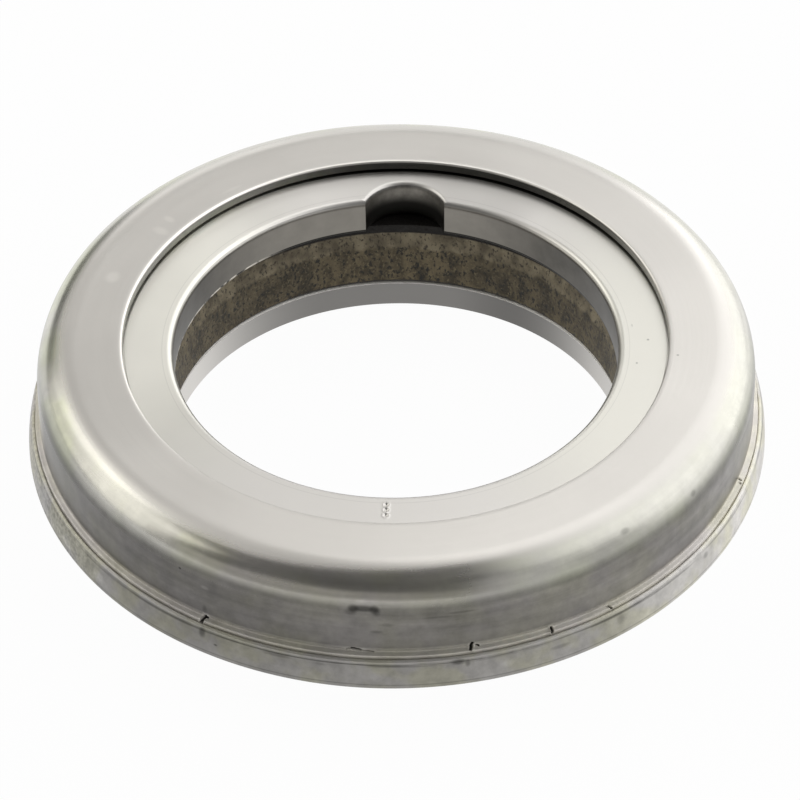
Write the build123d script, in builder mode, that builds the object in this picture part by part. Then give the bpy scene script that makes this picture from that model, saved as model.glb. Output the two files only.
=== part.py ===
from build123d import *
import os

# Clutch release bearing: a thrust ball bearing whose rotating race carries a pressed shell.
# Millimetres. The origin is on the bore axis in the wear face, and +Z runs along the axis
# from the wear face to the flat face of the shell. +Y runs through the grease notch.

# Radial sizes, from the bore outwards
bore_d = 69.85
retainer_setback = 1.175
rotor_setback = 0.2
retainer_inner_wall = 1.4
ball_d = 14.2875
pocket_play = 0.2
retainer_outer_wall = 1.3
retainer_side_gap = 0.45
shell_seat_width = 1.1
sheet = 1.5
foot_reach = 0.7625
lip_gap = 0.1
foot_hold = 0.2
foot_gap = 0.05
collar_wall = 1.0875
exposed_face_width = 7.875
wear_face_width = 15.1

# Heights, from the wear face upwards
rotor_floor_z = 5.1
land_gap = 12.2
stator_height = 6.3
seat_relief = 0.25
mouth_gap = 0.3
retainer_end_gap = 0.3
rim_bottom_z = 5.65
rim_crown_z = 6.3
rim_top_z = 11.0
lip_height = 0.4
wear_edge_height = 0.8

# Balls and raceways
ball_count = 16
groove_play = 0.08
groove_conformity = 0.54

# Shell form
shoulder_round = 5.75
foot_height = 1.3
foot_play = 0.06
wall_flare = 0.05
stator_shell_gap = 2.0
mouth_round = 0.4

# Cracks in the stretched foot of the shell, as angles round the axis
foot_crack_angles = (-118.4, -93.5, -76.4, -63.4, -53.0, -17.9)
foot_crack_width = 0.5

# Edges and details
race_edge = 0.4
seat_edge_play = 0.3
stator_round = 3.0
rotor_corner_round = 1.6
retainer_corner_relief = 0.5
retainer_bevel_depth = 0.6
retainer_bevel_height = 4.3
retainer_edge = 0.3
rim_lean = 0.85
rim_top_round = 0.4
rim_bottom_round = 0.4
rim_underside_width = 1.5
notch_r = 6.7
notch_depth = 4.2

# Radii that follow
bore_r = bore_d / 2
pocket_r = ball_d / 2 + pocket_play
retainer_inner_r = bore_r + retainer_setback
rotor_bore_r = retainer_inner_r + rotor_setback
pitch_r = retainer_inner_r + retainer_inner_wall + pocket_r
retainer_outer_r = pitch_r + pocket_r + retainer_outer_wall
rotor_wall_r = retainer_outer_r + retainer_side_gap
shell_inner_foot_r = rotor_wall_r + shell_seat_width
shell_foot_r = shell_inner_foot_r + sheet
foot_tip_r = shell_foot_r + foot_reach
lip_r = foot_tip_r + lip_gap
flange_r = lip_r + foot_hold
collar_inner_r = flange_r + foot_gap
outside_r = collar_inner_r + collar_wall
rim_top_r = outside_r - rim_lean
mouth_r = bore_r + exposed_face_width
seat_r = mouth_r - seat_edge_play
shell_shoulder_r = shell_foot_r - wall_flare
stator_outer_r = shell_shoulder_r - sheet - stator_shell_gap
wear_outer_r = rotor_bore_r + wear_face_width

# Heights that follow
ball_z = rotor_floor_z + land_gap / 2
stator_bottom_z = rotor_floor_z + land_gap
stator_top_z = stator_bottom_z + stator_height
shell_under_z = stator_top_z + mouth_gap
relief_z = stator_top_z - seat_relief
shell_top_z = shell_under_z + sheet
lip_under_z = rim_top_z - lip_height
flange_z = lip_under_z - foot_play
recess_z = flange_z - sheet
foot_top_z = rim_top_z + foot_height
retainer_bottom_z = rotor_floor_z + retainer_end_gap
retainer_top_z = stator_bottom_z - retainer_end_gap

# The foot leaves the wall in a cove, turns at its middle and rolls over to its tip
foot_turn_r = (shell_foot_r + foot_tip_r) / 2
foot_turn_z = (foot_top_z + rim_top_z) / 2
crack_reach = flange_r - shell_foot_r + sheet / 2

# The raceway arc is a little larger than the ball and leaves the play under it
groove_r = groove_conformity * ball_d
groove_offset = groove_r - ball_d / 2 - groove_play
ball_pitch_angle = 360 / ball_count
first_ball_angle = 90 + ball_pitch_angle / 2

os.makedirs("parts", exist_ok=True)

# Rotating race: wear face below, raceway on top, and a crowned rim that holds the shell's foot
with BuildPart() as rotating_race:
    with BuildSketch(Plane.XZ) as rotor_section:
        with BuildLine():
            crown = TangentArc((outside_r, rim_crown_z), (rim_top_r, rim_top_z), tangent=(0, 1))
            Polyline(
                crown @ 1,
                (lip_r, rim_top_z),
                (lip_r, lip_under_z),
                (collar_inner_r, lip_under_z),
                (collar_inner_r, recess_z),
                (rotor_wall_r, recess_z),
                (rotor_wall_r, rotor_floor_z),
                (rotor_bore_r, rotor_floor_z),
                (rotor_bore_r, 0),
                (wear_outer_r, 0),
                (wear_outer_r, wear_edge_height),
                (outside_r - rim_underside_width, rim_bottom_z),
                (outside_r, rim_bottom_z),
                crown @ 0,
            )
        make_face()
        corners = rotor_section.vertices()
        fillet(corners.sort_by_distance((rotor_wall_r, rotor_floor_z))[0], rotor_corner_round)
        fillet(corners.sort_by_distance((rim_top_r, rim_top_z))[0], rim_top_round)
        fillet(corners.sort_by_distance((outside_r, rim_bottom_z))[0], rim_bottom_round)
        chamfer(corners.sort_by_distance((rotor_bore_r, rotor_floor_z))[0], race_edge)
        chamfer(corners.sort_by_distance((rotor_bore_r, 0))[0], race_edge)
        chamfer(corners.sort_by_distance((wear_outer_r, 0))[0], race_edge)
        with Locations((pitch_r, ball_z + groove_offset)):
            Circle(groove_r, mode=Mode.SUBTRACT)
    revolve(axis=Axis.Z)

# Stationary race: a bore and raised seat for the carrier, a raceway below, a half-round notch
with BuildPart() as stationary_race:
    with BuildSketch(Plane.XZ) as stator_section:
        with BuildLine():
            Polyline(
                (bore_r, stator_bottom_z),
                (bore_r, stator_top_z),
                (seat_r, stator_top_z),
                (seat_r, relief_z),
                (stator_outer_r, relief_z),
                (stator_outer_r, stator_bottom_z),
                close=True,
            )
        make_face()
        corners = stator_section.vertices()
        fillet(corners.sort_by_distance((stator_outer_r, relief_z))[0], stator_round)
        chamfer(corners.sort_by_distance((stator_outer_r, stator_bottom_z))[0], race_edge)
        chamfer(corners.sort_by_distance((bore_r, stator_bottom_z))[0], race_edge)
        with Locations((pitch_r, ball_z - groove_offset)):
            Circle(groove_r, mode=Mode.SUBTRACT)
    revolve(axis=Axis.Z)
    with BuildSketch(Plane.XY.offset(stator_bottom_z)):
        with Locations((0, bore_r + notch_depth - notch_r)):
            Circle(notch_r)
    extrude(amount=stator_height, mode=Mode.SUBTRACT)
    top_face = stationary_race.faces().sort_by(Axis.Z)[-1]
    chamfer(top_face.inner_wires()[0].edges(), race_edge)

# Ball retainer: a solid ring with one through pocket for each ball and a bevelled bore
with BuildPart() as ball_retainer:
    with BuildSketch(Plane.XZ) as retainer_section:
        with BuildLine():
            Polyline(
                (retainer_inner_r, retainer_bottom_z),
                (retainer_inner_r, retainer_top_z - retainer_bevel_height),
                (retainer_inner_r + retainer_bevel_depth, retainer_top_z),
                (retainer_outer_r, retainer_top_z),
                (retainer_outer_r, retainer_bottom_z),
                close=True,
            )
        make_face()
        corners = retainer_section.vertices()
        low_outer = corners.sort_by_distance((retainer_outer_r, retainer_bottom_z))[0]
        chamfer(low_outer, rotor_corner_round - retainer_corner_relief)
        chamfer(corners.sort_by_distance((retainer_outer_r, retainer_top_z))[0], retainer_edge)
        chamfer(corners.sort_by_distance((retainer_inner_r, retainer_bottom_z))[0], retainer_edge)
    revolve(axis=Axis.Z)
    with BuildSketch(Plane.XY.offset(retainer_bottom_z)):
        with PolarLocations(pitch_r, ball_count, start_angle=first_ball_angle):
            Circle(pocket_r)
    extrude(amount=retainer_top_z - retainer_bottom_z, mode=Mode.SUBTRACT)

# Shell: pressed sheet with a rounded shoulder, an upright wall and a foot held under the rim
with BuildPart() as shell:
    with BuildSketch(Plane.XZ) as shell_section:
        with BuildLine():
            outside = FilletPolyline(
                (mouth_r, shell_top_z),
                (shell_shoulder_r, shell_top_z),
                (shell_foot_r, foot_top_z),
                radius=shoulder_round,
            )
            cove = TangentArc(outside @ 1, (foot_turn_r, foot_turn_z), tangent=outside % 1)
            roll = TangentArc(cove @ 1, (foot_tip_r, rim_top_z), tangent=cove % 1)
            inside = FilletPolyline(
                (shell_inner_foot_r, recess_z),
                (shell_shoulder_r - sheet, shell_under_z),
                (mouth_r, shell_under_z),
                radius=shoulder_round - sheet,
            )
            Polyline(
                roll @ 1,
                (foot_tip_r, flange_z),
                (flange_r, flange_z),
                (flange_r, recess_z),
                inside @ 0,
            )
            Line(inside @ 1, outside @ 0)
        make_face()
        corners = shell_section.vertices()
        fillet(corners.sort_by_distance((mouth_r, shell_top_z))[0], mouth_round)
    revolve(axis=Axis.Z)
    with BuildSketch(Plane.XY.offset(recess_z)):
        for angle in foot_crack_angles:
            with PolarLocations(flange_r, 1, start_angle=angle):
                Rectangle(2 * crack_reach, foot_crack_width)
    extrude(amount=foot_top_z - recess_z, mode=Mode.SUBTRACT)

for piece, name in (
    (rotating_race, "rotating_race"),
    (stationary_race, "stationary_race"),
    (ball_retainer, "ball_retainer"),
    (shell, "shell"),
):
    piece.part.label = name
    export_step(piece.part, f"parts/{name}.step")

# Balls, each on the pitch circle in the middle of its pocket
for number in range(ball_count):
    angle = first_ball_angle + number * ball_pitch_angle
    centre = Vector(pitch_r, 0, ball_z).rotate(Axis.Z, angle)
    with BuildPart(Plane(centre)) as ball:
        Sphere(ball_d / 2)
    ball.part.label = f"ball_{number + 1:02d}"
    export_step(ball.part, f"parts/ball_{number + 1:02d}.step")
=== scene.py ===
import math

import bpy
import numpy as np
from mathutils import Matrix, Vector


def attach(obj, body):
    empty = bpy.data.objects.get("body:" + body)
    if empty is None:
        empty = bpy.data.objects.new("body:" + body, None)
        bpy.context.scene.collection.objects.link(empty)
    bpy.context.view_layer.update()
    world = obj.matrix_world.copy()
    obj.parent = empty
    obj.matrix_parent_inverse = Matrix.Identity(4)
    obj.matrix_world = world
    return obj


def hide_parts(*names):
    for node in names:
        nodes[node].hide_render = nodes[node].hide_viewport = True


# Clutch release bearing. Lengths in this file are millimetres and turn into metres with MM.
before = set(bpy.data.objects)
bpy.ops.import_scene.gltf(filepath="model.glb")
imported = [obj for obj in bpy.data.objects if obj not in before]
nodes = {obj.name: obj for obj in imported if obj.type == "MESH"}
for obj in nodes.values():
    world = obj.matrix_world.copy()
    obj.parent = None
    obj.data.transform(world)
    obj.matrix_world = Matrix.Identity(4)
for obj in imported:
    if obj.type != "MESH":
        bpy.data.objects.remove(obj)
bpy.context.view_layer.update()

MM = 0.001

# Sizes of the upper race's CAD part that the surface and the finish line up with
BORE_R = 34.925
RACE_BOTTOM, RACE_TOP = 17.3, 23.6
SEAT_R, SEAT_RELIEF = 42.5, 0.25
RACE_OUTER_R, RACE_OUTER_ROUND = 52.9875, 3.0
NOTCH_CENTRE, NOTCH_R = 32.425, 6.7

# The shell's
SHELL_TOP, SHELL_UNDER = 25.4, 23.9
MOUTH_R, WALL_R = 42.8, 56.5
INNER_WALL_R, INNER_ROUND = 55.0375, 4.25
FOOT_R, FOOT_TOP = 56.5375, 11.9
TIP_R, RIM_TOP = 57.3, 11.0
FLANGE_R, FLANGE_TOP, FLANGE_BOTTOM = 57.6, 10.54, 9.04

# The lower race's
LOWER_BORE_R, LOWER_FLOOR = 36.3, 5.1
LOWER_WALL_R, LOWER_WALL_ROUND = 53.9375, 1.6
LIP_R, LIP_UNDER, COLLAR_R = 57.4, 10.6, 57.65
WEAR_R, WEAR_EDGE = 51.4, 0.8

# The retainer's
RETAINER_BOTTOM, RETAINER_TOP, BEVEL_BOTTOM = 5.4, 17.0, 12.7

# Raceways: the radius of both arcs and their centres, of the upper and the lower race
GROOVE_R = 7.71525
GROOVE_CENTRE, LOWER_GROOVE_CENTRE = (44.84375, 10.7085), (44.84375, 11.6915)

# Form of the drawn shoulder: its reach and the power of its superellipse
SHOULDER, SHOULDER_POWER = 6.3, 2.2

# Form of the foot: a cove out of the wall, a ledge that falls outwards and a roll down to the tip
COVE, ROLL = 0.14, 0.14
LEDGE_FALL = 12
FALL = math.radians(LEDGE_FALL)
COVE_END = (FOOT_R + COVE - COVE * math.sin(FALL), FOOT_TOP - COVE * math.cos(FALL))

# Form of the rim: its widest radius and where that lies, the inward lean of its crown and the
# slope of it at the top in degrees, its rounds, and the end of its flat underside
RIM_R, RIM_LOW, RIM_LEAN, RIM_SLOPE = 58.57, 6.38, 0.687, 17.4
RIM_TOP_ROUND, RIM_FOOT_ROUND = 0.35, 0.6
UNDER_RIM_R = 57.5

# Shallow lines turned round the rim: height, width and depth
LIP_LINE, FOOT_LINE = (10.42, 0.12, 0.05), (6.75, 0.12, 0.03)

# Rounded edges: upper and lower edge of the ground bore, the lower race's bore, the shell's mouth
BORE_EDGE, UNDER_EDGE, LOWER_EDGE, MOUTH_EDGE = 1.0, 0.35, 0.4, 0.35

# Slow ripples, as the height of one with ten waves round the ring: shell, its foot, and rim
SHELL_RIPPLE, FOOT_RIPPLE, RIM_RIPPLE = 0.012, 0.03, 0.008

# Even columns of points round the shell, the upper race outside its notch, and the lower race
SHELL_COLUMNS, RACE_COLUMNS, LOWER_COLUMNS = 620, 430, 840

# Edges that turn by more degrees than this are shaded as sharp
SHARP_ANGLE = 38

# Fine line that the grinding left round the upper race's face
RING_LINE_R = 36.7

# Angle near the front at which the foot and the rim are painted darkest, as shade
SHADED_FRONT = -104.8

# Splits in the stretched foot: the angle, both ends in millimetres round the foot from there and
# up it from the rim, the half width of the mouth and the depth
SPLITS = [
    (-118.4, (0.0, -0.1), (0.42, 1.4), 0.3, 0.65),
    (-118.4, (0.42, 1.4), (0.8, 1.35), 0.2, 0.5),
    (-93.9, (-1.2, 1.5), (-0.4, 1.86), 0.16, 0.2),
    (-93.9, (-0.4, 1.86), (0.9, 1.58), 0.22, 0.35),
    (-93.9, (0.9, 1.58), (2.9, 1.34), 0.13, 0.2),
    (-76.4, (0.0, 0.8), (0.4, 1.85), 0.27, 0.6),
    (-76.4, (0.9, 1.5), (1.4, 1.3), 0.14, 0.3),
    (-63.4, (-0.05, 0.25), (0.05, 1.25), 0.24, 0.55),
    (-53.0, (0.0, 0.25), (-0.4, 0.95), 0.2, 0.5),
    (-17.9, (0.3, 0.9), (0.4, 1.3), 0.18, 0.4),
    (-17.9, (-0.4, 0.5), (-0.35, 0.9), 0.18, 0.4),
]

# Punch marks on the upper race's face: their angle and radii, the depth and width of each, its
# raised rim by distance, width and height, and the part of the face that has close rows for them
PUNCH_ANGLE = -89.7
PUNCH_RADII = (37.1, 38.2, 39.4)
PUNCH_DEPTH, PUNCH_WIDTH = 0.22, 0.26
PUNCH_RIM = (0.5, 0.14, 0.05)
PUNCH_FACE = (36.3, 40.0)

# Marks: angle, radius, height, half length round the ring, half width, and the share by which
# the tone changes
SHELL_MARKS = [
    (-94.0, 56.4, 20.5, 1.1, 1.0, -0.5),
    (-94.4, 56.4, 19.8, 1.3, 0.9, -0.35),
    (-90.8, 56.4, 20.4, 1.0, 1.1, -0.5),
    (-90.4, 56.4, 19.9, 0.8, 1.0, -0.35),
    (-92.4, 56.4, 20.55, 2.9, 0.8, -0.6),
    (-92.8, 56.4, 21.9, 1.6, 0.7, 0.25),
    (-91.2, 56.4, 22.3, 0.9, 0.5, -0.25),
    (-89.0, 56.5, 17.4, 1.6, 0.5, -0.2),
    (-93.0, 56.5, 17.6, 1.9, 1.6, -0.12),
    (-90.6, 56.5, 15.9, 1.4, 0.4, -0.25),
    (-77.6, 56.5, 19.2, 3.2, 0.35, -0.3),
    (-81.0, 56.5, 18.6, 3.5, 0.3, -0.2),
    (-48.9, 54.9, 23.3, 1.2, 0.7, -0.3),
    (-33.9, 55.9, 21.8, 0.9, 0.7, -0.3),
    (-122.5, 56.5, 19.6, 0.35, 0.3, -0.7),
    (-118.0, 56.5, 17.8, 1.0, 0.5, 0.35),
    (-4.8, 44.3, 25.4, 0.3, 0.3, -0.4),
    (164.9, 47.2, 25.4, 1.9, 1.6, 0.12),
    (148.4, 45.6, 25.4, 1.2, 2.0, 0.1),
    (144.5, 46.3, 25.4, 0.9, 1.4, 0.1),
    (129.0, 44.8, 25.4, 2.6, 0.5, 0.06),
    (-118.2, 56.9, 13.2, 0.7, 1.2, -0.35),
]
RACE_MARKS = [
    (2.7, 39.6, 23.6, 0.3, 0.3, -0.45),
    (-5.6, 38.0, 23.6, 0.3, 0.25, -0.4),
    (8.0, 37.4, 23.6, 0.5, 0.2, -0.2),
]
RIM_MARKS = [
    (-117.8, 58.0, 9.9, 0.8, 1.3, -0.5),
    (-115.4, 58.5, 8.6, 0.5, 0.3, -0.6),
    (-139.0, 58.6, 8.4, 2.0, 1.2, 0.3),
    (-71.0, 58.6, 8.6, 1.6, 0.9, 0.15),
    (-105.5, 57.9, 10.0, 3.4, 0.5, -0.4),
    (-99.0, 57.95, 9.8, 1.6, 0.4, -0.3),
    (-78.4, 57.9, 10.3, 1.5, 0.7, -0.55),
    (-77.0, 57.9, 9.9, 0.6, 0.9, -0.4),
    (-52.0, 58.2, 9.2, 1.0, 1.4, -0.25),
    (-33.0, 58.2, 9.4, 0.9, 0.7, -0.3),
    (-62.5, 58.3, 9.0, 2.2, 0.5, -0.25),
    (-148.0, 58.4, 8.0, 2.4, 0.8, 0.35),
    (-156.0, 58.3, 8.8, 1.6, 0.6, -0.25),
]


class Value:
    """A number, vector or colour inside a finish. Python's operators on it add Math nodes."""

    def __init__(self, finish, socket):
        self.finish = finish
        self.socket = socket

    def math(self, operation, first, second=0.0):
        return self.finish.node("Math", {0: first, 1: second}, operation=operation)

    def __add__(self, other):
        return self.math("ADD", self, other)

    def __radd__(self, other):
        return self.math("ADD", other, self)

    def __sub__(self, other):
        return self.math("SUBTRACT", self, other)

    def __rsub__(self, other):
        return self.math("SUBTRACT", other, self)

    def __mul__(self, other):
        return self.math("MULTIPLY", self, other)

    def __rmul__(self, other):
        return self.math("MULTIPLY", other, self)

    def __truediv__(self, other):
        return self.math("DIVIDE", self, other)

    def __abs__(self):
        return self.math("ABSOLUTE", self)

    def least(self, other):
        return self.math("MINIMUM", self, other)

    def most(self, other):
        return self.math("MAXIMUM", self, other)

    def root(self):
        return self.math("SQRT", self)


class Finish:
    """A procedural material, with the places on the part that its patterns are laid out by."""

    def __init__(self, name):
        self.material = bpy.data.materials.new(name)
        self.material.use_nodes = True
        self.tree = self.material.node_tree
        self.tree.nodes.clear()
        place = self.node("TexCoord", output="Object")
        self.place = self.node("VectorMath", {0: place, "Scale": 1 / MM}, operation="SCALE")
        self.x, self.y, self.z = (
            self.node("SeparateXYZ", {0: self.place}, output=axis) for axis in "XYZ"
        )
        self.r = (self.x * self.x + self.y * self.y).root()

    def node(self, kind, inputs=None, output=0, **settings):
        """Add one node: its settings first, then the value or the link of each socket."""
        made = self.tree.nodes.new("ShaderNode" + kind)
        for name, setting in settings.items():
            setattr(made, name, setting)
        for key, value in (inputs or {}).items():
            if isinstance(value, Value):
                self.tree.links.new(value.socket, made.inputs[key])
            elif isinstance(value, tuple) and len(value) == 3 and made.inputs[key].type == "RGBA":
                made.inputs[key].default_value = (*value, 1)
            else:
                made.inputs[key].default_value = value
        return Value(self, made.outputs[output]) if made.outputs else None

    def rise(self, value, low, high):
        """A smooth step from 0 where value is low to 1 where it is high; low may be the larger."""
        return self.node(
            "MapRange",
            {"Value": value, "From Min": low, "From Max": high},
            interpolation_type="SMOOTHSTEP",
        )

    def between(self, value, low, high, soft):
        """1 where value lies from low to high, with edges soft wide."""
        return self.rise(value, low - soft, low + soft) * self.rise(value, high + soft, high - soft)

    def blend(self, share, first, second):
        """Colour that goes from first to second as share goes from 0 to 1."""
        return self.node(
            "Mix", {0: share, 6: first, 7: second}, output=2, data_type="RGBA", clamp_factor=True
        )

    def shade(self, colour, factor):
        """A colour times a grey factor."""
        grey = self.node("CombineColor", {0: factor, 1: factor, 2: factor})
        return self.node(
            "Mix", {0: 1.0, 6: colour, 7: grey}, output=2, data_type="RGBA", blend_type="MULTIPLY"
        )

    def grain(self, size, detail=3.0, roughness=0.5, stretch=(1, 1, 1), shift=0.0):
        """Even noise of about this grain size, stretched along the axes."""
        scale = tuple(1 / (size * longer) for longer in stretch)
        scaled = self.node(
            "Mapping", {"Vector": self.place, "Location": (shift,) * 3, "Scale": scale}
        )
        return self.node(
            "TexNoise",
            {"Vector": scaled, "Scale": 1.0, "Detail": detail, "Roughness": roughness},
        )

    def lathe(self, pitch, reach, detail=2.0, shift=0.0):
        """Noise in rings round the bore: it changes over one pitch across the rings, and
        over reach along them. Radius and height both count as across."""
        slow = self.node(
            "CombineXYZ",
            {0: self.x / reach, 1: self.y / reach, 2: self.z / pitch + shift},
        )
        return self.node(
            "TexNoise",
            {"Vector": slow, "W": self.r / pitch, "Scale": 1.0, "Detail": detail},
            noise_dimensions="4D",
        )

    def along(self, angle):
        """Millimetres from the axis in the direction of that angle in degrees."""
        turn = math.radians(angle)
        return self.x * math.cos(turn) + self.y * math.sin(turn)

    def towards(self, angle):
        """Cosine of the angle between a point's direction from the axis and this one."""
        return self.along(angle) / self.r

    def spot(self, angle, radius, height, length, width):
        """1 in an oval centred on that angle, radius and height, falling to 0 at its edge, where
        (arc/length)^2 + (radial offset/width)^2 + (vertical offset/width)^2 is 1."""
        sides = {0: self.along(angle + 90), 1: self.along(angle)}
        t = self.node("Math", sides, operation="ARCTAN2") * (radius / length)
        u = (self.r - radius) / width
        v = (self.z - height) / width
        return self.rise((t * t + u * u + v * v).root(), 1.0, 0.3)

    def marked(self, tone, marks):
        """A tone with its marks, each of them a spot that changes it by a share."""
        for *spot, share in marks:
            tone = tone * (1 + share * self.spot(*spot))
        return tone

    def outside(self):
        """1 outside the shell's sheet and 0 on its inner face."""
        return self.rise(self.r, INNER_WALL_R, INNER_WALL_R + 0.25)

    def sunk_in_foot(self):
        """How far a point lies under the whole foot's surface: inside the wall above the cove,
        and below the ledge and inside the tip further down."""
        wall = FOOT_R - self.r
        ledge = COVE_END[1] - self.z - (self.r - COVE_END[0]) * math.tan(FALL)
        shown = self.outside() * self.between(self.z, RIM_TOP - 0.1, FOOT_TOP + 2.3, 0.1)
        return wall.most((TIP_R - self.r).least(ledge)) * shown

    def bump(self, height, depth):
        """A normal from a height of 0 to 1, which stands for that depth in millimetres."""
        return self.node("Bump", {"Height": height, "Distance": depth * MM, "Strength": 1.0})

    def close(self, **sockets):
        """Join the metal's shader to the output and give back the material."""
        inputs = {name.replace("_", " ").title(): value for name, value in sockets.items()}
        return self.finished(self.node("BsdfPrincipled", inputs))

    def finished(self, shader):
        """Join a shader to the material's output and give back the material."""
        self.node("OutputMaterial", {"Surface": shader})
        return self.material


def bend(centre, radius, start, end, count):
    """Section points on a circle, from start to end in degrees; 0 points outwards and 90 up."""
    turn = np.radians(np.linspace(start, end, count))
    return np.stack([centre[0] + radius * np.cos(turn), centre[1] + radius * np.sin(turn)], -1)


def run(start, end, count):
    """Section points on a straight line."""
    share = np.linspace(0, 1, count)[:, None]
    return (1 - share) * np.array(start) + share * np.array(end)


def joined(parts):
    """One section from its parts, with no point twice in a row."""
    section = np.concatenate(parts)
    apart = np.linalg.norm(section - np.roll(section, 1, axis=0), axis=1)
    return section[apart > 1e-4]


def outward(section):
    """Unit normals of a section that runs clockwise: its tangent turned a quarter to the left."""
    tangent = np.roll(section, -1, axis=0) - np.roll(section, 1, axis=0)
    tangent /= np.linalg.norm(tangent, axis=1)[:, None]
    return np.stack([-tangent[:, 1], tangent[:, 0]], -1)


def ring(name, radius, height, turn, body, node, material):
    """A closed ring: grid point (i, j) lies at angle turn[j], at radius[i, j] and height[i, j].
    Each section runs clockwise, so the faces look outwards, and both directions close up."""
    points = np.stack([radius * np.cos(turn), radius * np.sin(turn), height], -1) * MM
    here = np.arange(radius.size).reshape(radius.shape)
    beside = np.roll(here, -1, axis=1)
    faces = np.stack([here, np.roll(here, -1, axis=0), np.roll(beside, -1, axis=0), beside], -1)
    mesh = bpy.data.meshes.new(name)
    mesh.from_pydata(points.reshape(-1, 3).tolist(), [], faces.reshape(-1, 4).tolist())
    mesh.materials.append(material)
    mesh.shade_smooth()
    mesh.set_sharp_from_angle(angle=math.radians(SHARP_ANGLE))
    made = bpy.data.objects.new(name, mesh)
    bpy.context.collection.objects.link(made)
    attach(made, body)
    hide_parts(node)


def ripple(turn, counts, size, seed):
    """Sum of sines round the ring, one for each count of waves per turn, with set phases. Each
    is size * (10/count)^0.6 high, so quicker waves are lower."""
    phases = np.random.default_rng(seed).uniform(0, 2 * np.pi, len(counts))
    waves = [np.sin(n * turn + p) * (10 / n) ** 0.6 for n, p in zip(counts, phases)]
    return size * np.sum(waves, axis=0)


def drawn_shell(material):
    """The pressed shell. Its section goes up the mouth, over the flat, round the shoulder on
    (r/a)^n + (z/a)^n = 1, down the wall, out through a cove and over a roll to the tip of the
    foot, in under the rim and back up inside. Every point in sight then moves along the
    section's normal by slow ripples, and in the foot by the splits: each sinks a groove of
    depth * (1 - distance from its line/half width), with a raised lip beside it."""
    lean = np.radians(np.linspace(90, 0, 28))
    inwards = SHOULDER * (np.cos(lean) ** (2 / SHOULDER_POWER) - 1)
    downwards = SHOULDER * (np.sin(lean) ** (2 / SHOULDER_POWER) - 1)
    roll_start = TIP_R - ROLL + ROLL * math.sin(FALL)
    roll_top = COVE_END[1] - (roll_start - COVE_END[0]) * math.tan(FALL)
    roll_z = roll_top - ROLL * math.cos(FALL)
    in_sight = [
        run((MOUTH_R, SHELL_UNDER), (MOUTH_R, SHELL_TOP - MOUTH_EDGE), 4),
        bend((MOUTH_R + MOUTH_EDGE, SHELL_TOP - MOUTH_EDGE), MOUTH_EDGE, 180, 90, 6),
        run((MOUTH_R + 0.9, SHELL_TOP), (WALL_R - SHOULDER - 0.6, SHELL_TOP), 7),
        np.stack([WALL_R + inwards, SHELL_TOP + downwards], -1),
        run((WALL_R + 0.002, SHELL_TOP - SHOULDER - 0.6), (FOOT_R, FOOT_TOP + 0.9), 8),
        run((FOOT_R, FOOT_TOP + 0.75), (FOOT_R, FOOT_TOP + 0.08), 6),
        bend((FOOT_R + COVE, FOOT_TOP), COVE, 180, 270 - LEDGE_FALL, 6),
        run(COVE_END, (roll_start, roll_top), 4)[1:-1],
        bend((TIP_R - ROLL, roll_z), ROLL, 90 - LEDGE_FALL, 0, 6),
        run((TIP_R, roll_z - 0.1), (TIP_R, RIM_TOP), 3),
    ]
    hidden = [
        run((TIP_R, RIM_TOP - 0.12), (TIP_R, FLANGE_TOP), 3),
        run((FLANGE_R, FLANGE_TOP), (FLANGE_R, FLANGE_BOTTOM), 2),
        run((INNER_WALL_R, FLANGE_BOTTOM), (INNER_WALL_R, SHELL_UNDER - INNER_ROUND - 0.5), 3),
        bend((INNER_WALL_R - INNER_ROUND, SHELL_UNDER - INNER_ROUND), INNER_ROUND, 0, 90, 9),
    ]
    last = len(joined(in_sight)) - 1
    section = joined(in_sight + hidden)
    steps = np.linalg.norm(np.diff(section, axis=0), axis=1)
    walked = np.concatenate([[0], np.cumsum(steps)])
    # How far up the section each point lies from where the tip meets the rim
    climb = (walked[last] - walked)[:, None]

    # Columns: even ones all round, and close ones from 1.6 mm before to 3.2 mm after each split
    even = np.linspace(-np.pi, np.pi, SHELL_COLUMNS, endpoint=False)
    close = np.linspace(-1.6, 3.2, 64) / FOOT_R
    angles = sorted({math.radians(split[0]) for split in SPLITS})
    turn = np.concatenate([even] + [angle + close for angle in angles])
    turn = np.unique(np.round(turn, 5))

    # Slow ripples: a little on the flat and wall, more on the stretched foot
    in_foot = np.clip((2.4 - climb) / 1.2, 0, 1) * (climb > -0.5)
    push = ripple(turn, (3, 5, 8, 13), SHELL_RIPPLE, 3) * np.sin(section[:, 1:] / 3.0)
    push = push + in_foot * ripple(turn, (17, 29, 47, 71, 113, 167, 211), FOOT_RIPPLE, 5)
    for angle, start, end, half, depth in SPLITS:
        across = (turn - math.radians(angle)) * FOOT_R
        line = np.array(end) - np.array(start)
        share = ((across - start[0]) * line[0] + (climb - start[1]) * line[1]) / (line @ line)
        share = np.clip(share, 0, 1)
        apart = np.hypot(across - start[0] - share * line[0], climb - start[1] - share * line[1])
        groove = depth * np.clip(1 - apart / half, 0, 1)
        lip = 0.25 * half * np.exp(-(((apart - 1.35 * half) / (0.5 * half)) ** 2))
        push = push + np.where(climb > -0.3, lip * in_foot - groove, 0)
    # Hidden points stay, but for the first, which moves with the tip
    push[last + 2 :] = 0
    normal = outward(section)
    radius = section[:, :1] + push * normal[:, :1]
    height = np.minimum(section[:, 1:] + push * normal[:, 1:], SHELL_TOP + 0.05)
    ring("drawn_shell", radius, height, turn, "rotor", "shell", material)


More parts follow.
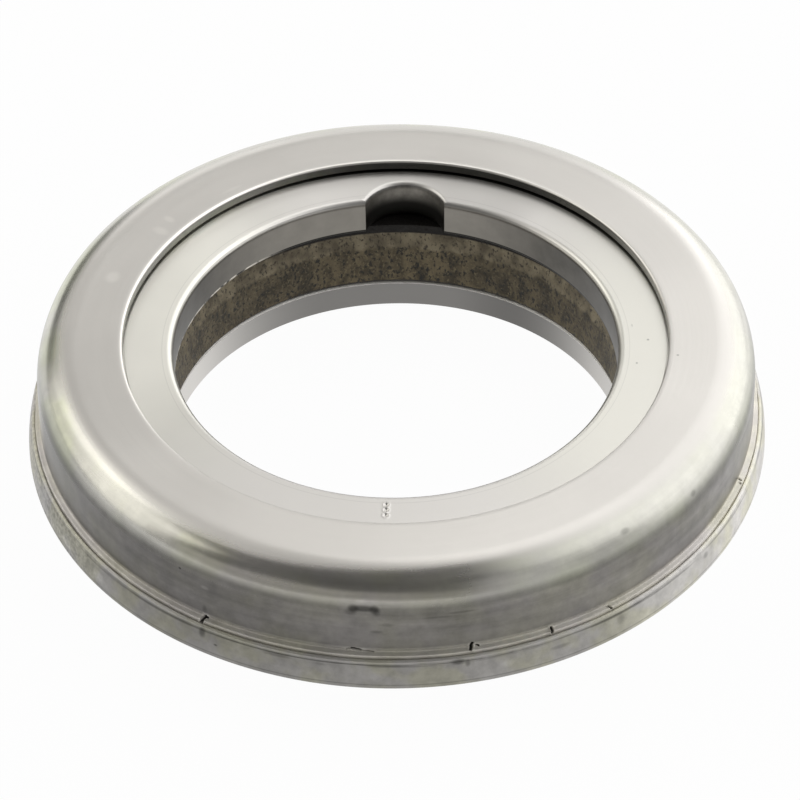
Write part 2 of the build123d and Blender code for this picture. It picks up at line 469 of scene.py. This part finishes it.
def ground_race(material):
    """The upper race. At each angle its wall lies at the bore's radius, or in the notch on the
    far side of the notch's circle. The section goes up the bore between its rounded edges, over
    the face and its relieved border, down the outer round and back through the raceway. Each
    punch mark sinks the face by depth * exp(-(distance/width)^2) and raises a rim round that."""
    edge = math.acos((BORE_R**2 + NOTCH_CENTRE**2 - NOTCH_R**2) / (2 * BORE_R * NOTCH_CENTRE))
    corner = math.atan2(BORE_R * math.sin(edge), BORE_R * math.cos(edge) - NOTCH_CENTRE)
    around = np.linspace(-corner, corner, 61)
    sideways, forwards = NOTCH_R * np.sin(around), NOTCH_CENTRE + NOTCH_R * np.cos(around)
    notch_turn = np.pi / 2 - np.arctan2(sideways, forwards)
    plain = np.linspace(np.pi / 2 + edge, 2.5 * np.pi - edge, RACE_COLUMNS)[1:-1]
    # Close columns at the punch marks, for 0.9 mm to both sides at a radius of 38 mm
    punch = 2 * np.pi + math.radians(PUNCH_ANGLE)
    plain = np.sort(np.concatenate([plain, punch + np.linspace(-0.9, 0.9, 31) / 38]))
    turn = np.concatenate([notch_turn[::-1], plain])
    wall = np.concatenate([np.hypot(sideways, forwards)[::-1], np.full(len(plain), BORE_R)])

    # The raceway's arc meets the underside at this angle from the horizontal
    meets = math.degrees(math.asin((RACE_BOTTOM - GROOVE_CENTRE[1]) / GROOVE_R))
    relief = RACE_TOP - SEAT_RELIEF
    # The rows at the bore are counted from the wall, and all others from the axis
    inner = [
        bend((UNDER_EDGE, RACE_BOTTOM + UNDER_EDGE), UNDER_EDGE, 270, 180, 7),
        run((0, RACE_BOTTOM + 0.9), (0, RACE_TOP - BORE_EDGE - 0.2), 5),
        bend((BORE_EDGE, RACE_TOP - BORE_EDGE), BORE_EDGE, 180, 90, 9),
        run((BORE_EDGE + 0.1, RACE_TOP), (BORE_EDGE + 0.25, RACE_TOP), 2),
    ]
    round_centre = (RACE_OUTER_R - RACE_OUTER_ROUND, relief - RACE_OUTER_ROUND)
    outer = [
        run((PUNCH_FACE[0], RACE_TOP), (PUNCH_FACE[1], RACE_TOP), 42),
        run((PUNCH_FACE[1] + 0.3, RACE_TOP), (SEAT_R, RACE_TOP), 6),
        run((SEAT_R + 0.02, relief), (round_centre[0] - 0.3, relief), 3),
        bend(round_centre, RACE_OUTER_ROUND, 90, 0, 9),
        run((RACE_OUTER_R, RACE_BOTTOM + 0.4), (RACE_OUTER_R - 0.4, RACE_BOTTOM), 2),
        bend(GROOVE_CENTRE, GROOVE_R, meets, 180 - meets, 13),
    ]
    inner, outer = joined(inner), joined(outer)
    near = wall[None, :] + inner[:, :1]
    # In the notch the face starts further out, and its rows are squeezed towards the seat's edge
    on_top = (outer[:, :1] <= SEAT_R) & (outer[:, 1:] > relief)
    moved = np.maximum(near[-1:] - PUNCH_FACE[0] + 0.15, 0)
    squeezed = moved * (SEAT_R - outer[:, :1]) / (SEAT_R - PUNCH_FACE[0])
    far = outer[:, :1] + np.where(on_top, squeezed, 0)
    radius = np.concatenate([near, far])
    height = np.concatenate([inner[:, 1:], outer[:, 1:]]) + 0 * turn
    on_face = np.abs(height - RACE_TOP) < 1e-6
    distance, width, rise = PUNCH_RIM
    for mark in PUNCH_RADII:
        apart = np.hypot((turn - punch) * mark, radius - mark)
        pit = PUNCH_DEPTH * np.exp(-((apart / PUNCH_WIDTH) ** 2))
        rim = rise * np.exp(-(((apart - distance) / width) ** 2))
        height = height + np.where(on_face, rim - pit, 0)
    ring("ground_race", radius, height, turn, "stator", "stationary_race", material)


def turned_race(material):
    """The lower race. Its section goes up the bore and over its rounded edge, through the
    raceway, up inside the rim and over its top, down the crown r = widest - lean *
    ((z - low)/(high - low))^2, round the rim's foot and in along the wear face. The crown then
    moves in and out by slow ripples, and by shallow lines turned round it, each sunk by
    depth * exp(-(height off the line/width)^2) and wandering a little up and down."""
    # The raceway's arc meets the floor at this angle under the horizontal
    meets = math.degrees(math.asin((LOWER_GROOVE_CENTRE[1] - LOWER_FLOOR) / GROOVE_R))
    slope = math.radians(RIM_SLOPE)
    top = (RIM_R - RIM_LEAN - RIM_TOP_ROUND * math.cos(slope), RIM_TOP - RIM_TOP_ROUND)
    high = top[1] + RIM_TOP_ROUND * math.sin(slope)
    # Close rows at the two lines
    rows = ((high, 10.1, 16), (9.9, 7.2, 8), (7.1, RIM_LOW, 11))
    z = np.concatenate([np.linspace(*row) for row in rows])
    crown = np.stack([RIM_R - RIM_LEAN * ((z - RIM_LOW) / (high - RIM_LOW)) ** 2, z], -1)
    corner = (LOWER_WALL_R - LOWER_WALL_ROUND, LOWER_FLOOR + LOWER_WALL_ROUND)
    foot_z = RIM_LOW - 0.05
    section = joined(
        [
            run((LOWER_BORE_R, LOWER_EDGE), (LOWER_BORE_R, LOWER_FLOOR - 0.6), 5),
            bend((LOWER_BORE_R + LOWER_EDGE, LOWER_FLOOR - LOWER_EDGE), LOWER_EDGE, 180, 90, 8),
            run((LOWER_BORE_R + 0.6, LOWER_FLOOR), (40.0, LOWER_FLOOR), 3),
            bend(LOWER_GROOVE_CENTRE, GROOVE_R, 180 + meets, 360 - meets, 11),
            run((49.5, LOWER_FLOOR), (corner[0] - 0.2, LOWER_FLOOR), 2),
            bend(corner, LOWER_WALL_ROUND, 270, 360, 6),
            run((LOWER_WALL_R, FLANGE_BOTTOM), (COLLAR_R, FLANGE_BOTTOM), 2),
            run((COLLAR_R, LIP_UNDER), (LIP_R, LIP_UNDER), 2),
            bend((LIP_R + 0.08, RIM_TOP - 0.08), 0.08, 180, 90, 4),
            bend(top, RIM_TOP_ROUND, 90, RIM_SLOPE, 6)[:-1],
            crown,
            bend((RIM_R - RIM_FOOT_ROUND, foot_z), RIM_FOOT_ROUND, 0, -90, 8),
            run((UNDER_RIM_R, foot_z - RIM_FOOT_ROUND), (WEAR_R, WEAR_EDGE), 4),
            run((WEAR_R, LOWER_EDGE), (WEAR_R - LOWER_EDGE, 0), 2),
            run((WEAR_R - 2 * LOWER_EDGE, 0), (LOWER_BORE_R + LOWER_EDGE, 0), 4),
        ]
    )
    turn = np.linspace(-np.pi, np.pi, LOWER_COLUMNS, endpoint=False)
    push = ripple(turn, (3, 5, 9), RIM_RIPPLE, 11) + 0 * section[:, :1]
    wander = ripple(turn, (7, 13, 23, 41, 67), 0.22, 12)
    for line, width, depth in (LIP_LINE, FOOT_LINE):
        off = (section[:, 1:] - line - 0.04 * wander) / width
        push = push - depth * np.clip(0.7 + wander, 0, 1.3) * np.exp(-(off**2))
    on_rim = (section[:, 1:] > foot_z - 0.43) & (section[:, 1:] < RIM_TOP - 0.1)
    push = push * (on_rim & (section[:, :1] > LIP_R + 0.2))
    normal = outward(section)
    radius = section[:, :1] + push * normal[:, :1]
    height = section[:, 1:] + push * normal[:, 1:]
    ring("turned_race", radius, height, turn, "rotor", "rotating_race", material)


def pressed_steel():
    """Drawn sheet steel. The flat is light and satin. The wall has painted shade that keeps it
    darker than the flat, with drawing marks round it and dull blots, a painted highlight that makes
    it lighter towards the right and a painted highlight streak on the left. The foot is pale from a
    painted highlight and painted darkest near the front as shade, the edge of the mouth has a
    painted highlight at the back, and the wall below it is painted dull as shade. The shoulder has
    a painted highlight towards the right and painted shade on the left. Dirt lies in the splits."""
    f = Finish("pressed_steel")
    rings = f.lathe(0.5, 45, detail=3)
    broad = f.lathe(1.6, 22, detail=4, shift=7.0)
    cloud = f.grain(14, detail=5, roughness=0.6)
    blots = f.grain(2.6, detail=5, roughness=0.65, shift=3.0)

    # Where things lie, by the depth under the flat, the radius and the way round
    depth = SHELL_TOP - f.z
    flat = f.rise(depth, 0.8, 0.1)
    shoulder = f.rise(depth, 5.1, 2.0)
    bend_zone = f.between(depth, 0.2, 5.9, 0.5)
    drawn = f.between(depth, 0.8, SHELL_TOP - FOOT_TOP - 2.6, 1.2)
    foot = f.rise(f.z, FOOT_TOP + 0.8, FOOT_TOP - 0.1) * f.outside()
    mouth = f.rise(f.r, MOUTH_R + 0.2, MOUTH_R + 0.04) * f.rise(depth, 0.08, MOUTH_EDGE)
    # Painted highlight along the mouth's rounded edge, at the back
    mouth_edge_highlight = f.rise(f.r, MOUTH_R + 0.6, MOUTH_R + 0.25) * f.rise(depth, MOUTH_EDGE, 0.15)
    mouth_edge_highlight = mouth_edge_highlight * f.rise(f.towards(130), -0.2, 0.5)

    # Painted shade: the wall is darker than the flat, painted lighter towards the right, a little
    # darker at the left front, and with a painted highlight streak on the far left
    wall_shade_tone = 0.15 + 0.085 * f.rise(f.towards(-10), 0.3, 1.0)
    wall_shade_tone = wall_shade_tone - 0.025 * f.rise(f.towards(-150), 0.5, 0.9)
    wall_shade_tone = wall_shade_tone + 0.3 * f.rise(f.towards(-175), 0.975, 0.998)
    wall_shade_tone = wall_shade_tone * (0.6 + 0.8 * blots) * (0.8 + 0.4 * cloud)
    # Painted highlight: the foot is pale, and painted darkest near the front as shade
    foot_lit_and_shaded_tone = (0.55 + 0.3 * (1 - f.towards(SHADED_FRONT))).least(0.85) * (0.7 + 0.6 * blots)
    # Painted shade on the wall inside the mouth, darkest at the back
    mouth_shade_tone = (0.26 - 0.2 * f.rise(f.towards(72), 0.5, 0.95)) * (0.6 + 0.8 * blots)
    tone = wall_shade_tone + (0.66 - wall_shade_tone) * shoulder
    tone = tone * (1 + drawn * (broad - 0.5) * (1 - 0.5 * shoulder))
    tone = tone * (1 + 0.35 * (blots - 0.5) * shoulder * drawn)
    tone = tone + (foot_lit_and_shaded_tone - tone) * foot
    tone = tone + (0.95 - tone) * mouth_edge_highlight
    tone = tone + (mouth_shade_tone - tone) * mouth
    tone = f.marked(tone, SHELL_MARKS)
    tone = tone * (1 - 0.8 * f.rise(f.sunk_in_foot(), 0.05, 0.2))
    # Painted highlight on the shoulder towards the right, and painted shade on it at the left
    tone = tone * (1 + 0.1 * bend_zone * f.rise(f.towards(2), 0.88, 0.985))
    tone = tone * (1 - 0.24 * bend_zone * f.rise(f.towards(-162), 0.93, 0.99))

    # Tint: the wall is warm, the shoulder greener but for its front, and both have olive patches
    olive = f.rise(f.grain(9, detail=3, shift=21.0), 0.36, 0.68)
    olive = olive * (1 - 0.75 * f.rise(f.towards(-15), 0.2, 0.8) * shoulder)
    wall_tint = f.blend(olive, (1.045, 0.995, 0.95), (1.05, 1.01, 0.87))
    green_tint = f.blend(olive, (1.03, 1.01, 0.93), (1.02, 1.03, 0.84))
    green = f.rise(depth, 6.4, 3.9) * (1 - 0.8 * f.rise(f.towards(-98), 0.85, 0.98))
    tint = f.blend(flat, f.blend(green, wall_tint, green_tint), (1.035, 1.0, 0.945))

    rough = 0.33 - 0.07 * bend_zone * (1 - 1.9 * f.rise(f.towards(-48), 0.85, 0.97))
    return f.close(
        base_color=f.shade(tint, tone),
        metallic=1 - 0.7 * foot - 0.85 * mouth,
        roughness=rough + 0.1 * (cloud - 0.5) + 0.08 * (broad - 0.5),
        normal=f.bump(rings + 0.6 * broad + 0.3 * blots, 0.008),
    )


def ground_steel():
    """Race steel. The face is bright and ground in fine rings, with painted light and shade round
    it; the bore has painted shade, lighter towards the back, with its lower edge painted as a dark
    shade line that has painted glints on the left, and the notch, never ground, is painted black as
    shade, with stains lighter towards its top."""
    f = Finish("ground_steel")
    rings = f.lathe(0.22, 90)
    cloud = f.grain(9, detail=3)
    stain = f.grain(3.2, detail=4, roughness=0.6, shift=5.0)
    glints = f.rise(f.grain(1.4, detail=3, shift=31.0), 0.4, 0.56)

    # Where things lie, by the depth under the face and by the radius
    depth = RACE_TOP - f.z
    face = f.rise(depth, 0.85, 0.35)
    under_edge = f.rise(f.z, RACE_BOTTOM + 0.6, RACE_BOTTOM + 0.45)
    notch = f.rise(f.r, BORE_R + 0.08, BORE_R + 0.38) * f.rise(f.r, SEAT_R + 0.1, SEAT_R - 0.5)
    notch = notch * f.rise(depth, 0.2, 0.4)
    border = f.rise(f.r, SEAT_R - 0.15, SEAT_R - 0.02)
    ring_line = f.between(f.r, RING_LINE_R - 0.05, RING_LINE_R + 0.05, 0.08) * face

    # Painted shade line along the bore's lower edge, with painted glints on the left
    edge_shade_and_glint_tone = 0.02 + 0.6 * glints * f.rise(f.towards(160), 0.8, 0.93)
    # Painted shade in the bore, lighter towards the back
    bore_shade_tone = 0.05 + 0.12 * f.rise(f.towards(100), 0.55, 0.97) + 0.08 * stain
    bore_shade_tone = bore_shade_tone + (edge_shade_and_glint_tone - bore_shade_tone) * under_edge
    # Painted light and shade round the face: lighter on the left, right and near the seat at the
    # back left, darker at the back
    face_light_and_shade_tone = 0.68 + 0.05 * (cloud - 0.5) + 0.14 * f.rise(f.towards(168), 0.7, 0.98)
    face_light_and_shade_tone = face_light_and_shade_tone - 0.1 * f.rise(f.towards(72), 0.95, 0.995)
    face_light_and_shade_tone = face_light_and_shade_tone + 0.05 * f.rise(f.towards(-5), 0.6, 0.95)
    face_light_and_shade_tone = face_light_and_shade_tone + 0.08 * f.rise(f.towards(128), 0.85, 0.97)
    outer_part = f.rise(f.r, SEAT_R - 2.2, SEAT_R - 0.7)
    face_light_and_shade_tone = face_light_and_shade_tone + 0.14 * outer_part * f.rise(f.towards(122), 0.85, 0.96)
    # Painted shade along the seat's border at the back
    face_light_and_shade_tone = face_light_and_shade_tone * (1 - 0.7 * border * f.rise(f.towards(76), 0.6, 0.95))
    tone = bore_shade_tone + (face_light_and_shade_tone - bore_shade_tone) * face
    # Painted shade in the notch: nearly black, with stains lighter towards its top
    tone = tone * (1 - notch) + (0.02 + 0.4 * stain * f.rise(depth, 4.0, 1.2)) * notch
    tone = f.marked(tone * (1 - 0.14 * ring_line), RACE_MARKS)

    # Tint: both sides of the face are a little yellower than its front and back
    yellow = f.rise(abs(f.towards(175)), 0.4, 0.95)
    face_tint = f.blend(yellow, (1.03, 1.0, 0.955), (1.03, 1.01, 0.93))
    return f.close(
        base_color=f.shade(f.blend(face, (1.06, 1.0, 0.89), face_tint), tone),
        metallic=1.0,
        roughness=0.29 + 0.08 * cloud + 0.05 * rings + 0.2 * notch,
        normal=f.bump(rings, 0.002),
    )


def turned_steel():
    """Turned race steel: the rim is dull, with painted shade darkest near the front and on the
    left, a painted highlight towards the right, a painted highlight on the lip, streaks below that,
    a dark low line and painted sparkle on the left. The bore has painted shade, darkest at the back
    and on the right, and a painted highlight on its upper edge."""
    f = Finish("turned_steel")
    rings = f.lathe(0.3, 60, detail=3)
    cloud = f.grain(9, detail=4, roughness=0.6)
    blots = f.grain(2.2, detail=5, roughness=0.65, shift=9.0)
    sparkle = 1.6 * f.grain(0.6, detail=3, shift=41.0) - 0.8
    streaks = f.rise(f.lathe(0.7, 14, detail=3, shift=3.0), 0.42, 0.6)

    # Where things lie, by the height and the radius
    outer = f.rise(f.r, LOWER_WALL_R - 3.9, LOWER_WALL_R + 1.1)
    bore_edge_highlight = f.rise(f.z, LOWER_FLOOR - 0.4, LOWER_FLOOR - 0.3) * (1 - outer)
    rim_lip_highlight = f.rise(f.z, RIM_TOP - 0.4, RIM_TOP - 0.2) * outer
    under_lip = f.between(f.z, LIP_LINE[0] - 0.37, LIP_LINE[0] + 0.03, 0.15)
    low_line = f.between(f.z, FOOT_LINE[0] - 0.1, FOOT_LINE[0] + 0.1, 0.08)

    # Painted shade in the bore, darkest at the back and on the right, and a painted highlight on
    # its upper edge
    bore_shade_tone = 0.66 - 0.46 * f.rise(f.towards(90), 0.35, 0.95)
    bore_shade_tone = bore_shade_tone - 0.1 * f.rise(f.towards(20), 0.5, 0.9)
    bore_shade_tone = bore_shade_tone + (0.95 - bore_shade_tone) * bore_edge_highlight
    # Painted shade on the rim, darkest near the front and on the left, with a painted highlight
    # towards the right, painted sparkle on the left and a painted highlight on the lip
    rim_shade_tone = (0.23 + 0.3 * (1 - f.towards(SHADED_FRONT))).least(0.5)
    rim_shade_tone = rim_shade_tone * (0.6 + 0.8 * blots) * (0.75 + 0.5 * cloud)
    rim_shade_tone = rim_shade_tone * (1 - 0.15 * f.rise(f.towards(-150), 0.6, 0.95))
    rim_shade_tone = rim_shade_tone * (1 + 0.3 * f.rise(f.towards(-25), 0.85, 0.98))
    rim_shade_tone = rim_shade_tone * (1 + sparkle * f.rise(f.towards(-168), 0.82, 0.97))
    rim_shade_tone = rim_shade_tone + 0.25 * rim_lip_highlight
    rim_shade_tone = rim_shade_tone * (1 - 0.45 * streaks * under_lip) * (1 - 0.3 * low_line)
    tone = bore_shade_tone + (f.marked(rim_shade_tone, RIM_MARKS) - bore_shade_tone) * outer
    olive = f.rise(f.grain(7, detail=3, shift=15.0), 0.42, 0.6) * outer
    return f.close(
        base_color=f.shade(f.blend(olive, (1.03, 1.0, 0.955), (1.05, 1.02, 0.85)), tone),
        metallic=1 - 0.75 * bore_edge_highlight - 0.6 * rim_lip_highlight,
        roughness=0.3 + 0.1 * cloud + 0.05 * rings,
        normal=f.bump(rings + 0.6 * blots * outer, 0.01),
    )


def sintered_iron():
    """Pitted sintered iron, brown-grey, with a paler band on the bevel at the back that is painted
    light from above, and painted light under the notch. It is painted black as the shadow of the
    race above at the back, and as shade along its lower edge."""
    f = Finish("sintered_iron")
    pits = f.grain(0.55, detail=4, roughness=0.6, stretch=(1, 1, 1.5))
    specks = f.grain(0.42, detail=2, shift=2.0, stretch=(1, 1, 1.4))
    blots = f.grain(2.2, detail=3, shift=11.0, stretch=(1, 1, 1.6))
    low = f.blend(f.rise(blots, 0.3, 0.7), (0.042, 0.033, 0.018), (0.165, 0.133, 0.078))
    low = f.blend(f.rise(specks, 0.5, 0.72), low, (0.19, 0.155, 0.09))
    # Painted light: the lower part is lighter at the back, under the notch
    low = f.shade(low, 1 + 0.25 * f.rise(f.towards(92), 0.9, 0.985))
    low = f.blend(f.rise(pits, 0.5, 0.36), low, (0.014, 0.012, 0.008))
    # The bevel's colour is a lighter copy of the lower one, painted as lit from above
    high = f.blend(f.rise(blots, 0.3, 0.7), (0.14, 0.116, 0.076), (0.35, 0.3, 0.205))
    high = f.blend(f.rise(pits, 0.48, 0.34), high, (0.06, 0.05, 0.034))
    # Painted light: the lit band on the bevel, at the back
    lit_bevel = f.rise(f.z + 1.6 * (blots - 0.5), BEVEL_BOTTOM - 0.4, BEVEL_BOTTOM + 0.4)
    lit_bevel = lit_bevel * f.rise(f.towards(75), -0.4, 0.6)
    shadow = f.rise(f.z, RETAINER_TOP - 1.55, RETAINER_TOP - 1.3)
    shadow = shadow * f.rise(f.towards(80), 0.55, 0.8)
    shadow = shadow.most(f.rise(f.z, RETAINER_BOTTOM + 0.45, RETAINER_BOTTOM + 0.3))
    return f.close(
        base_color=f.blend(shadow, f.blend(lit_bevel, low, high), (0.012, 0.01, 0.008)),
        metallic=0.4,
        roughness=0.5 + 0.2 * pits,
        normal=f.bump(pits + 0.5 * specks, 0.2),
    )


def polished_steel():
    """Bearing balls: polished, with a thin film of oil."""
    f = Finish("polished_steel")
    cloud = f.grain(4, detail=3)
    return f.close(
        base_color=f.blend(cloud, (0.66, 0.65, 0.63), (0.74, 0.73, 0.71)),
        metallic=1.0,
        roughness=0.08 + 0.06 * cloud,
    )


def wear(node, material):
    """Give a CAD part its finish in place of the plain one that it came with."""
    data = node.data
    for index in range(len(data.materials)):
        data.materials[index] = material
    for face_slot in node.material_slots:
        face_slot.link = "OBJECT"
        face_slot.material = material


sheet_finish, face_finish, rim_finish = pressed_steel(), ground_steel(), turned_steel()
wear(nodes["shell"], sheet_finish)
wear(nodes["stationary_race"], face_finish)
wear(nodes["rotating_race"], rim_finish)
wear(nodes["ball_retainer"], sintered_iron())
ball_finish = polished_steel()
for name, node in nodes.items():
    if name.startswith("ball_") and name != "ball_retainer":
        wear(node, ball_finish)
drawn_shell(sheet_finish)
ground_race(face_finish)
turned_race(rim_finish)


# The photo's camera: its angles in degrees, its lengths and its lens
ELEVATION, TURN, TILT = 42.05, 2.95, 0.78
DISTANCE, AIM_HEIGHT = 704.85, 6.2
SIDE_STEP, RISE_STEP = 0.558, 3.865
LENS = 198.75


def camera():
    """The photo's camera. It looks down at the bore axis, turned a little round it, from a point
    moved a little sideways and up, and the picture is tilted by a fraction of a degree."""
    elevation, tilt = math.radians(ELEVATION), math.radians(TILT)
    turn = Matrix.Rotation(math.radians(TURN), 3, "Z")
    right = turn @ Vector((1, 0, 0))
    back = turn @ Vector((0, -math.cos(elevation), math.sin(elevation)))
    up = turn @ Vector((0, math.sin(elevation), math.cos(elevation)))
    place = back * DISTANCE + right * SIDE_STEP + up * RISE_STEP + Vector((0, 0, AIM_HEIGHT))
    across = right * math.cos(tilt) - up * math.sin(tilt)
    upward = right * math.sin(tilt) + up * math.cos(tilt)
    pose = Matrix((across, upward, back)).transposed().to_4x4()
    pose.translation = place * MM
    data = bpy.data.cameras.new("camera")
    data.lens = LENS
    data.sensor_width = 36
    data.clip_start = 0.01
    data.clip_end = 100
    made = bpy.data.objects.new("camera", data)
    bpy.context.collection.objects.link(made)
    made.matrix_world = pose
    bpy.context.scene.camera = made


def lamp(name, azimuth, elevation, distance, size, radiance, colour):
    """A soft box that faces the bearing, with its angles in degrees and its lengths in metres.
    Its power is pi * radiance * area."""
    data = bpy.data.lights.new(name, "AREA")
    data.shape = "RECTANGLE"
    data.size, data.size_y = size
    data.energy = math.pi * radiance * size[0] * size[1]
    data.color = colour
    a, e = math.radians(azimuth), math.radians(elevation)
    away = Vector((math.cos(a) * math.cos(e), math.sin(a) * math.cos(e), math.sin(e)))
    made = bpy.data.objects.new(name, data)
    made.location = away * distance
    made.rotation_euler = away.to_track_quat("Z", "Y").to_euler()
    bpy.context.collection.objects.link(made)


def white_paper():
    """Pale paper that the camera, gloss and glass see almost fully white, with a trace of the
    shadows that fall on it, and that is lit as usual for all other light."""
    f = Finish("white_paper")
    pale = f.blend(f.grain(40, detail=2), (0.9, 0.9, 0.9), (0.891, 0.891, 0.891))
    lit = f.node("BsdfDiffuse", {"Color": pale})
    glow = f.node("Emission", {"Color": (1.0, 1.0, 1.0), "Strength": 1.0})
    camera_ray, glossy_ray, glass_ray = (
        f.node("LightPath", output=ray)
        for ray in ("Is Camera Ray", "Is Glossy Ray", "Is Transmission Ray")
    )
    seen = (camera_ray + glossy_ray + glass_ray).least(1.0) * 0.97
    return f.finished(f.node("MixShader", {0: seen, 1: lit, 2: glow}))


def stage_sheet(name, corners, material):
    """A flat sheet through four corners in metres."""
    mesh = bpy.data.meshes.new(name)
    mesh.from_pydata(corners, [], [(0, 1, 2, 3)])
    mesh.materials.append(material)
    made = bpy.data.objects.new(name, mesh)
    bpy.context.collection.objects.link(made)


camera()
paper = white_paper()
stage_sheet("floor", [(-4, -4, 0), (4, -4, 0), (4, 4, 0), (-4, 4, 0)], paper)
backdrop = [(-0.6, 1.6, -0.1), (0.6, 1.6, -0.1), (0.6, 1.6, 0.9), (-0.6, 1.6, 0.9)]
stage_sheet("backdrop", backdrop, paper)

lamp("right_box", 29.2, 32.8, 1.0, (1.95, 1.72), 1.24, (1, 1, 1))
lamp("left_box", 171.1, 28.6, 1.0, (1.03, 0.95), 1.08, (1, 0.985, 0.93))
lamp("high_left_box", 145.0, 45.0, 1.0, (0.5, 0.5), 0.4, (1, 0.985, 0.93))
lamp("back_box", 123.3, 51.0, 0.9, (0.87, 1.16), 0.49, (1, 0.99, 0.97))
lamp("front_right_box", 315, 13, 1.1, (0.6, 1.15), 0.45, (1, 1, 1))
lamp("front_fill", 242.4, 10.3, 1.1, (3.09, 0.67), 0.23, (1, 0.98, 0.94))

world = bpy.data.worlds.new("studio")
bpy.context.scene.world = world
world.use_nodes = True
sky = world.node_tree.nodes["Background"].inputs
sky["Color"].default_value = (0.11, 0.11, 0.108, 1)
sky["Strength"].default_value = 1.0
bpy.context.scene.view_settings.view_transform = "Standard"
